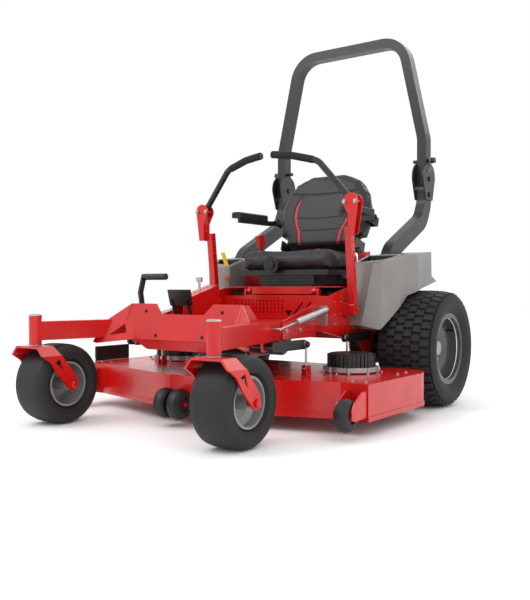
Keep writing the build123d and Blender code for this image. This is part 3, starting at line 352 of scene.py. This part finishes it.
class Shapes:
    """Collects simple solids into one mesh."""

    def __init__(self) -> None:
        """Starts with an empty mesh."""
        self.bm = bmesh.new()

    def disc(
        self,
        centre: Point,
        axis: Point,
        radius: float,
        height: float,
        sides: int = 24,
        top: float | None = None,
    ) -> None:
        """Adds a cylinder or cone.

        Args:
            centre: Middle of its base.
            axis: Direction from its base to its top.
            radius: Radius of the base.
            height: Length along the axis.
            sides: Number of flats, six for a hexagon.
            top: Radius at the top, the base's own unless given.
        """
        turn = Vector((0, 0, 1)).rotation_difference(Vector(axis)).to_matrix().to_4x4()
        middle = Vector(centre) + Vector(axis).normalized() * (height / 2)
        bmesh.ops.create_cone(
            self.bm,
            cap_ends=True,
            segments=sides,
            radius1=radius,
            radius2=radius if top is None else top,
            depth=height,
            matrix=Matrix.Translation(middle) @ turn,
        )

    def bolt(self, centre: Point, axis: Point, size: float = 6.5 * MM) -> None:
        """Adds a hex head on its washer, with the base of the washer at centre."""
        lift = Vector(axis).normalized()
        self.disc(centre, axis, size * 1.5, 1.6 * MM, 20)
        self.disc(tuple(Vector(centre) + lift * 1.6 * MM), axis, size, size * 0.85, 6)

    def box(self, low: Point, high: Point) -> None:
        """Adds a box between two corners."""
        size = Vector(high) - Vector(low)
        middle = (Vector(high) + Vector(low)) / 2
        scale = Matrix.Diagonal((*size, 1))
        bmesh.ops.create_cube(self.bm, size=1, matrix=Matrix.Translation(middle) @ scale)

    def tube(self, path: list[Point], radius: float, sides: int = 12) -> None:
        """Adds a round bar along a path of points, closed at its ends."""
        rings = []
        for i, point in enumerate(path):
            ahead = Vector(path[min(i + 1, len(path) - 1)]) - Vector(path[max(i - 1, 0)])
            turn = Vector((0, 0, 1)).rotation_difference(ahead)
            ring = []
            for k in range(sides):
                a = 2 * pi * k / sides
                offset = turn @ Vector((radius * cos(a), radius * sin(a), 0))
                ring.append(self.bm.verts.new(Vector(point) + offset))
            rings.append(ring)
        for one, two in zip(rings, rings[1:]):
            for k in range(sides):
                n = (k + 1) % sides
                self.bm.faces.new((one[k], one[n], two[n], two[k]))
        self.bm.faces.new(rings[0][::-1])
        self.bm.faces.new(rings[-1])

    def ring(self, centre: Point, axis: Point, radius: float, bar: float, sides: int = 96) -> None:
        """Adds a round ring of round bar."""
        turn = Vector((0, 0, 1)).rotation_difference(Vector(axis))
        loops = []
        for i in range(sides):
            a = 2 * pi * i / sides
            out = Vector((cos(a), sin(a), 0))
            loop = []
            for k in range(10):
                b = 2 * pi * k / 10
                place = out * (radius + bar * cos(b)) + Vector((0, 0, bar * sin(b)))
                loop.append(self.bm.verts.new(Vector(centre) + turn @ place))
            loops.append(loop)
        for i in range(sides):
            one, two = loops[i], loops[(i + 1) % sides]
            for k in range(10):
                n = (k + 1) % 10
                self.bm.faces.new((one[k], two[k], two[n], one[n]))

    def finish(self, name: str, finish: Finish, body: str, slot: str) -> bpy.types.Object:
        """Turns what was collected into a piece that rides on a body.

        Args:
            name: Name of the piece.
            finish: What it is made of.
            body: CAD body that it moves with.
            slot: Name of a material slot; not used.

        Returns:
            The piece.
        """
        bmesh.ops.recalc_face_normals(self.bm, faces=self.bm.faces)
        mesh = bpy.data.meshes.new(name)
        self.bm.to_mesh(mesh)
        self.bm.free()
        piece = bpy.data.objects.new(name, mesh)
        bpy.context.scene.collection.objects.link(piece)
        mesh.materials.append(finish.build())
        shade(piece)
        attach(piece, body)
        LOG.info("%s: %d faces on %s", name, len(mesh.polygons), body)
        return piece


def mirrored(point: Point, side: Side) -> Point:
    """Puts a point given for the left on the asked side."""
    return (point[0] * side.value, point[1], point[2])


# Sub-assemblies


@dataclass
class TurfTyre:
    """Rear tyre: a carcass with staggered blocks and open grooves across a flat tread."""

    side: Side
    outer: float = 0.274
    tread_depth: float = 0.011
    bead: float = 0.153
    tread_half: float = 0.122
    pitches: int = 40
    steps: int = 8
    columns: int = 6

    def profile(self) -> list[tuple[float, float, float]]:
        """Gives the section from one bead to the other.

        Returns:
            Offset across, radius at the groove floor, and how far the tread rises there.
        """
        floor = self.outer - self.tread_depth
        wall = [(0.100, self.bead), (0.119, 0.170), (0.133, 0.192), (0.1395, 0.215), (0.1365, 0.238)]
        section = [(-x, r, 0.0) for x, r in wall] + [(-0.129, 0.252, 0.3)]
        tread_half, per = self.tread_half, 6
        for i in range(self.columns * per + 1):
            x = -tread_half + 2 * tread_half * i / (self.columns * per)
            crown = floor - 0.012 * (abs(x) / tread_half) ** 3
            edge = i % per
            section.append((x, crown, 0.0 if edge == 0 else 1.0))
            if edge in (0, per - 1) and i < self.columns * per:
                shift = 2 * tread_half / (self.columns * per)
                nudge = 0.28 * shift if edge == 0 else 0.72 * shift
                rise = 0.0 if edge == per - 1 else 1.0
                section.append((x + nudge, crown, rise if edge == 0 else 1.0))
        section.append((0.129, 0.252, 0.3))
        return section + [(x, r, 0.0) for x, r in wall[::-1]]

    def rise(self, column: float, step: int) -> float:
        """Says whether a place round the tyre is block or groove, blocks staggered by column."""
        shift = (self.steps // 2) * (int(column) % 2)
        place = (step + shift) % self.steps
        return 0.0 if place in (0, 1) else 1.0

    def build(self) -> bpy.types.Object:
        """Builds the tyre and stands it in for the plain CAD one."""
        node = f"rear_tyre_{self.side.word}"
        low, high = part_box(node)
        middle = (low + high) / 2
        section = self.profile()
        around = self.pitches * self.steps
        verts, faces = [], []
        tread_half = self.tread_half
        for j in range(around):
            a = 2 * pi * j / around
            for x, radius, share in section:
                column = (x + tread_half) / (2 * tread_half) * self.columns
                lift = share * self.tread_depth * self.rise(column, j)
                if abs(x) > tread_half:
                    lift = share * self.tread_depth * self.rise(0, j)
                r = radius + lift
                verts.append((middle.x + x, middle.y + r * cos(a), middle.z + r * sin(a)))
        n = len(section)
        for j in range(around):
            k = (j + 1) % around
            for i in range(n - 1):
                faces.append((j * n + i, j * n + i + 1, k * n + i + 1, k * n + i))
        piece = make_piece(f"turf_tyre_{self.side.word}", verts, faces, TREAD_RUBBER)
        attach(piece, f"rear_wheel_{self.side.word}")
        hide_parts(node)
        return piece


@dataclass
class RearWheelTrim:
    """Two bright rings on the rim's flange, and the tyre's valve."""

    side: Side
    ring_radius: float = 0.1625
    bar: float = 0.0035

    def build(self) -> None:
        """Adds the rings and the valve to the rear wheel."""
        low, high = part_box(f"rear_rim_{self.side.word}")
        middle = (low + high) / 2
        face = high.x if self.side is Side.LEFT else low.x
        shapes = Shapes()
        inward = -self.side.value
        for radius, depth in ((self.ring_radius, 0.004), (0.146, 0.020)):
            shapes.ring((face + inward * depth, middle.y, middle.z), (1, 0, 0), radius, self.bar)
        shapes.finish(f"rim_rings_{self.side.word}", STAINLESS, self.body, "steel")
        valve = Shapes()
        base = (face + inward * 0.055, middle.y + 0.10, middle.z + 0.08)
        out = (self.side.value, 0, 0)
        tip = (base[0] + self.side.value * 0.03, base[1], base[2])
        valve.disc(base, out, 0.0055, 0.030, 16)
        valve.disc(tip, out, 0.0042, 0.010, 16)
        valve.finish(f"tyre_valve_{self.side.word}", BLACK_PLASTIC, self.body, "black_plastic")

    @property
    def body(self) -> str:
        """The wheel's CAD body."""
        return f"rear_wheel_{self.side.word}"


@dataclass
class Upholstery:
    """A padded part of the seat, swelled by a cloth simulation from its CAD solid."""

    node: str
    body: str
    name: str
    shrink: float = 0.955
    voxel: float = 0.006
    pressure: float = 4.0
    cap: float = 0.014

    def start_mesh(self) -> bpy.types.Object:
        """Copies the CAD solid, a little smaller, as an even voxel mesh."""
        piece = bpy.data.objects.new(self.name, NODES[self.node].data.copy())
        bpy.context.scene.collection.objects.link(piece)
        low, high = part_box(self.node)
        middle = (low + high) / 2
        thin = 0.86
        scale = Matrix.Diagonal((self.shrink, thin, self.shrink, 1))
        if high.z - low.z < high.y - low.y:
            scale = Matrix.Diagonal((self.shrink, self.shrink, thin, 1))
        piece.data.transform(Matrix.Translation(middle) @ scale @ Matrix.Translation(-middle))
        piece.data.materials.clear()
        remesh = piece.modifiers.new("voxels", "REMESH")
        remesh.mode = "VOXEL"
        remesh.voxel_size = self.voxel
        soften = piece.modifiers.new("soften", "SMOOTH")
        soften.factor = 0.5
        soften.iterations = 14
        self.apply(piece)
        return piece

    def apply(self, piece: bpy.types.Object) -> None:
        """Turns a piece's modifiers into its mesh."""
        graph = bpy.context.evaluated_depsgraph_get()
        mesh = bpy.data.meshes.new_from_object(piece.evaluated_get(graph))
        piece.modifiers.clear()
        piece.data = mesh

    def swell(self, piece: bpy.types.Object) -> None:
        """Blows the pad up a little, with each point's move capped."""
        rest = [v.co.copy() for v in piece.data.vertices]
        cloth = piece.modifiers.new("cloth", "CLOTH")
        cloth.settings.use_pressure = True
        cloth.settings.uniform_pressure_force = self.pressure
        cloth.settings.effector_weights.gravity = 0
        cloth.settings.quality = 4
        for number in range(1, 21):
            bpy.context.scene.frame_set(number)
        graph = bpy.context.evaluated_depsgraph_get()
        moved = piece.evaluated_get(graph).to_mesh()
        places = [v.co.copy() for v in moved.vertices]
        piece.modifiers.clear()
        for vertex, start, end in zip(piece.data.vertices, rest, places):
            step = end - start
            if step.length > self.cap:
                step *= self.cap / step.length
            vertex.co = start + step
        bpy.context.scene.frame_set(1)

    def sew(self, piece: bpy.types.Object) -> None:
        """Presses the seams into the pad; a plain pad has none."""

    def colour(self, piece: bpy.types.Object) -> None:
        """Gives each face its vinyl; a plain pad has one."""
        piece.data.materials.append(VINYL.build())

    def build(self) -> bpy.types.Object:
        """Makes the pad and stands it in for its CAD solid."""
        piece = self.start_mesh()
        self.swell(piece)
        subdivide = piece.modifiers.new("finer", "SUBSURF")
        subdivide.levels = 1
        self.apply(piece)
        self.sew(piece)
        self.colour(piece)
        shade(piece, True, 80)
        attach(piece, self.body)
        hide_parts(self.node)
        LOG.info("%s: %d faces", self.name, len(piece.data.polygons))
        return piece


@dataclass
class SeatBack(Upholstery):
    """Backrest: a lighter centre between two leaning red stripes, and a headrest seam."""

    node: str = "seat_back"
    body: str = "backrest"
    name: str = "backrest_upholstery"
    stripe: tuple[tuple[float, float], ...] = (
        (0.782, 0.115), (0.860, 0.128), (0.900, 0.150), (0.944, 0.161), (0.990, 0.158), (1.040, 0.135),
    )
    low_z: float = 0.79
    high_z: float = 1.045
    stripe_half: float = 0.007
    groove: float = 0.004

    def stripe_x(self, z: float) -> float:
        """Distance of the stripe from the middle at a height."""
        for (z0, x0), (z1, x1) in zip(self.stripe, self.stripe[1:]):
            if z <= z1:
                return x0 + (x1 - x0) * max(0.0, z - z0) / (z1 - z0)
        return self.stripe[-1][1]

    def front(self, co: Vector) -> bool:
        """Says whether a point is on the front of the pad."""
        return co.y < 0.527 + (co.z - 0.757) * 0.2894 + 0.03

    def sew(self, piece: bpy.types.Object) -> None:
        """Presses a channel beside each stripe and across the headrest."""
        for vertex in piece.data.vertices:
            co = vertex.co
            if not self.front(co):
                continue
            gap = abs(co.x) - self.stripe_x(co.z)
            depth = 0.0
            if self.low_z < co.z < self.high_z + 0.02:
                for line in (-self.stripe_half - 0.003, self.stripe_half + 0.003):
                    depth = max(depth, self.groove * max(0.0, 1 - abs(gap - line) / 0.006))
            if abs(co.x) < 0.2:
                for z in (self.high_z + 0.01, 0.925, 0.860):
                    curve = z + 0.25 * co.x * co.x
                    narrow = abs(co.x) < self.stripe_x(z) or z > 1.0
                    if narrow:
                        depth = max(depth, self.groove * max(0.0, 1 - abs(co.z - curve) / 0.006))
            vertex.co.y += depth

    def colour(self, piece: bpy.types.Object) -> None:
        """Paints the centre, the bolsters and the two stripes."""
        for finish in (VINYL, VINYL_INSERT, RED_VINYL):
            piece.data.materials.append(finish.build())
        for face in piece.data.polygons:
            co = face.center
            gap = abs(co.x) - self.stripe_x(co.z)
            if not self.front(co) or not self.low_z < co.z < self.high_z:
                continue
            taper = min(1.0, (self.high_z - co.z) / 0.04)
            if abs(gap) < self.stripe_half * taper:
                face.material_index = 2
            elif gap < 0:
                face.material_index = 1


@dataclass
class SeatCushion(Upholstery):
    """Seat cushion: a lighter centre, deep side bolsters and a sewn front roll."""

    node: str = "seat_cushion"
    body: str = "seat"
    name: str = "cushion_upholstery"
    insert_half: float = 0.15
    roll_y: float = 0.262
    groove: float = 0.005

    def sew(self, piece: bpy.types.Object) -> None:
        """Raises the bolsters and presses the channels between the panels."""
        for vertex in piece.data.vertices:
            co = vertex.co
            if co.z < 0.69:
                continue
            depth = 0.0
            lines = [abs(abs(co.x) - self.insert_half)]
            if abs(co.x) < self.insert_half:
                lines += [abs(co.y - self.roll_y), abs(co.y - 0.36), abs(co.y - 0.44)]
            for gap in lines:
                depth = max(depth, self.groove * max(0.0, 1 - gap / 0.007))
            hollow = max(0.0, 1 - (co.x / self.insert_half) ** 2) * 0.006
            vertex.co.z -= depth + hollow

    def colour(self, piece: bpy.types.Object) -> None:
        """Paints the centre panels and the red wedges at the front corners."""
        for finish in (VINYL, VINYL_INSERT, RED_VINYL):
            piece.data.materials.append(finish.build())
        for face in piece.data.polygons:
            co = face.center
            if co.z < 0.70:
                continue
            if abs(co.x) < self.insert_half and co.y > self.roll_y:
                face.material_index = 1
            wedge = abs(co.x) - self.insert_half - 0.012
            if 0 < wedge < 0.02 and 0.25 < co.y < 0.42 and wedge < (0.42 - co.y) * 0.12:
                face.material_index = 2


@dataclass
class Fasteners:
    """Hex heads on the frame, front plate, deck and roll bar's feet, one piece for each group."""

    def chassis(self) -> None:
        """Adds the bolts of the frame and the roll bar's feet."""
        shapes = Shapes()
        for side in Side:
            out = (side.value, 0, 0)
            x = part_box("side_plates")[1].x * side.value
            plate_bolts = ((-0.30, 0.385), (-0.20, 0.385), (0.10, 0.395))
            plate_bolts += ((0.62, 0.43), (0.62, 0.50), (0.70, 0.45))
            for y, z in plate_bolts:
                shapes.bolt((x, y, z), out, 6.0 * MM)
            leg = 0.465 * side.value
            for y, z in ((0.437, 0.600), (0.473, 0.600), (0.437, 0.660), (0.473, 0.660)):
                shapes.bolt((leg, y, z), out, 8.0 * MM)
        shapes.finish("frame_bolts", ZINC, "chassis", "steel")

    def front(self) -> None:
        """Adds the bolt heads across the front plate."""
        shapes = Shapes()
        lean = Vector((0, -1, 0.28)).normalized()
        for x in (-0.205, -0.125, 0.125, 0.205):
            z = 0.462 if abs(x) > 0.15 else 0.362
            y = -0.563 + (z - 0.343) * 44 / 150 - 0.0021
            shapes.bolt((x, y, z), tuple(lean), 5.0 * MM)
        shapes.finish("front_plate_bolts", BLACK_PAINT, "chassis", "black_paint")

    def deck(self) -> None:
        """Adds a ring of bolts round each blade motor and along the deck's edge."""
        shapes = Shapes()
        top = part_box("deck_shell")[1].z
        for x, y in ((0.495, -0.003), (0.0, -0.262), (-0.495, -0.003)):
            for k in range(6):
                a = 2 * pi * (k + 0.5) / 6
                shapes.bolt((x + 0.128 * cos(a), y + 0.128 * sin(a), top), (0, 0, 1), 5.0 * MM)
        for side in Side:
            for x, y in ((0.66, -0.30), (0.72, -0.30), (0.70, 0.02), (0.70, 0.10), (0.30, 0.20)):
                shapes.bolt(mirrored((x, y, top), side), (0, 0, 1), 5.5 * MM)
        shapes.finish("deck_bolts", ZINC, "deck", "steel")

    def build(self) -> None:
        """Adds every group."""
        self.chassis()
        self.front()
        self.deck()


@dataclass
class LeverSleeves:
    """Foam sleeves with flat closed ends over the inboard half of the drive levers."""

    radius: float = 0.0175
    route: tuple[Point, ...] = (
        (0.235, 0.1053, 1.1490), (0.180, 0.0935, 1.1628), (0.130, 0.0815, 1.1745),
        (0.080, 0.0750, 1.1808), (0.034, 0.0695, 1.1857),
    )

    def build(self) -> None:
        """Adds a sleeve to each lever grip."""
        for side in Side:
            shapes = Shapes()
            shapes.tube([mirrored(p, side) for p in self.route], self.radius, 24)
            shapes.finish(f"lever_sleeve_{side.word}", GRIP_FOAM, f"grip_{side.word}", "black_plastic")


@dataclass
class LockPinClips:
    """Spring-wire bails on the roll bar's lock pins, with their short lanyards' rings."""

    wire: float = 0.0016
    pin_y: float = 0.884
    pin_z: float = 1.226

    def build(self) -> None:
        """Adds a bail round each lock pin's head."""
        shapes = Shapes()
        low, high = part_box("rops_hoop")
        for side in Side:
            x = high.x if side is Side.LEFT else low.x
            inner = x - side.value * 0.022
            loop = [
                (inner, self.pin_y, self.pin_z - 0.017),
                (inner, self.pin_y, self.pin_z - 0.040),
                (inner - side.value * 0.004, 0.870, self.pin_z - 0.058),
                (inner - side.value * 0.004, 0.852, self.pin_z - 0.050),
            ]
            shapes.tube(loop, self.wire, 8)
            eye = (inner - side.value * 0.002, self.pin_y, self.pin_z)
            shapes.ring(eye, (1, 0, 0), 0.0175, self.wire, 40)
        shapes.finish("lock_pin_clips", ZINC, "hoop", "steel")


@dataclass
class ConsoleTrim:
    """Silver bezels round the two trays, and the isolator's strap and charge connector."""

    plan: tuple[tuple[float, float], ...] = ((0.372, 0.268), (0.500, 0.308), (0.545, 0.398), (0.372, 0.398))
    slope: float = 0.296

    def top_z(self, y: float) -> float:
        """Height of the fender's top at a depth."""
        return 0.670 + (y - 0.25) * self.slope

    def bezels(self) -> None:
        """Adds the silver bezel round each storage tray."""
        shapes = Shapes()
        for side in Side:
            points = []
            for (x0, y0), (x1, y1) in zip(self.plan, self.plan[1:] + self.plan[:1]):
                for k in range(6):
                    x, y = x0 + (x1 - x0) * k / 6, y0 + (y1 - y0) * k / 6
                    points.append(mirrored((x, y, self.top_z(y) + 0.0015), side))
            points.append(points[0])
            shapes.tube(points, 0.003, 10)
        shapes.finish("tray_bezels", ALLOY, "chassis", "cast_alloy")

    def isolator(self) -> None:
        """Adds the leaning yellow strap of the isolator and the orange connector below it."""
        verts = []
        for x, y, z in ((-0.385, 0.262, 0.668), (-0.405, 0.250, 0.745)):
            verts += [(x - 0.012, y - 0.002, z), (x + 0.012, y - 0.002, z)]
            verts += [(x + 0.012, y + 0.002, z), (x - 0.012, y + 0.002, z)]
        faces = [(3, 2, 1, 0), (4, 5, 6, 7), (0, 1, 5, 4), (1, 2, 6, 5), (2, 3, 7, 6), (3, 0, 4, 7)]
        strap = make_piece("isolator_handle", verts, faces, YELLOW_PLASTIC, False)
        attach(strap, "chassis")
        plug = Shapes()
        plug.box((-0.379, 0.2290, 0.600), (-0.367, 0.2465, 0.618))
        plug.finish("charge_connector", ORANGE_PLASTIC, "chassis", "red_plastic")

    def build(self) -> None:
        """Adds all the trim."""
        self.bezels()
        self.isolator()


@dataclass
class LeverBolts:
    """Bright bolt heads on the two clamp bolts of each lever's bracket."""

    middle: Point = (0.427, 0.103, 0.946)
    half: float = 0.028

    def build(self, body: str) -> None:
        """Adds the heads.

        Args:
            body: Start of the name of the body that carries a bracket, without its hand.
        """
        for side in Side:
            shapes = Shapes()
            x, y, z = self.middle
            for step in (-self.half, self.half):
                shapes.bolt(mirrored((x + step, y, z), side), (0, -1, 0), 7.0 * MM)
            shapes.finish(f"lever_bolts_{side.word}", ZINC, f"{body}_{side.word}", "steel")


@dataclass
class Studio:
    """Pale floor, soft lights and the camera."""

    eye: Point = (2.0945, -2.9316, 0.5578)
    look: Point = (-0.574, 0.819, -0.015)
    lens: float = 46.39

    def floor(self) -> None:
        """Adds a pale floor that fades into the backdrop."""
        finish = Finish("studio_floor", "#FFFFFF", 0.8, patch=0.0, grain_height_mm=0.0)
        size = 30.0
        corners = [(-size, -size, 0), (size, -size, 0), (size, size, 0), (-size, size, 0)]
        piece = make_piece("floor", corners, [(0, 1, 2, 3)], finish)
        piece.location.z = -0.0005

    def light(self, name: str, place: Point, power: float, size: float) -> None:
        """Adds a soft square light that faces the machine."""
        data = bpy.data.lights.new(name, "AREA")
        data.energy, data.size = power, size
        lamp = bpy.data.objects.new(name, data)
        lamp.location = place
        lamp.rotation_mode = "QUATERNION"
        lamp.rotation_quaternion = (Vector((0, 0, 0.6)) - Vector(place)).to_track_quat("-Z", "Y")
        bpy.context.scene.collection.objects.link(lamp)

    def world(self) -> None:
        """Fills the shadows with an even pale sky."""
        world = bpy.data.worlds.new("studio")
        world.use_nodes = True
        world.node_tree.nodes["Background"].inputs[0].default_value = linear("#FFFFFF")
        world.node_tree.nodes["Background"].inputs[1].default_value = 1.0
        bpy.context.scene.world = world

    def camera(self) -> None:
        """Places the camera."""
        data = bpy.data.cameras.new("camera")
        data.lens, data.sensor_width = self.lens, 36.0
        camera = bpy.data.objects.new("camera", data)
        camera.location = self.eye
        camera.rotation_mode = "QUATERNION"
        camera.rotation_quaternion = Vector(self.look).to_track_quat("-Z", "Y")
        bpy.context.scene.collection.objects.link(camera)
        bpy.context.scene.camera = camera

    def build(self) -> None:
        """Sets the whole stage."""
        self.floor()
        self.world()
        self.light("key", (-2.2, -3.2, 4.2), 80, 2.5)
        self.light("fill", (4.0, -2.2, 3.0), 40, 3.0)
        self.light("back", (0.5, 4.0, 4.0), 50, 3.0)
        self.camera()
        bpy.context.scene.view_settings.view_transform = "Standard"


def dress_frame() -> None:
    """Gives every listed CAD node its material, and logs the nodes left without one."""
    for finish, names in CAD_FINISHES.items():
        for name in names:
            mesh = NODES[name].data
            mesh.materials.clear()
            mesh.materials.append(finish.build())
    left = sorted(set(NODES) - {n for names in CAD_FINISHES.values() for n in names})
    LOG.info("CAD nodes without a material of their own: %s", left)


def main() -> None:
    """Builds every sub-assembly in turn."""
    logging.basicConfig(level=logging.INFO, format="%(name)s: %(message)s")
    dress_frame()
    for side in Side:
        TurfTyre(side).build()
        RearWheelTrim(side).build()
    SeatBack().build()
    SeatCushion().build()
    Fasteners().build()
    LeverSleeves().build()
    LockPinClips().build()
    ConsoleTrim().build()
    LeverBolts().build("lever")
    Studio().build()


if __name__ == "__main__":
    main()
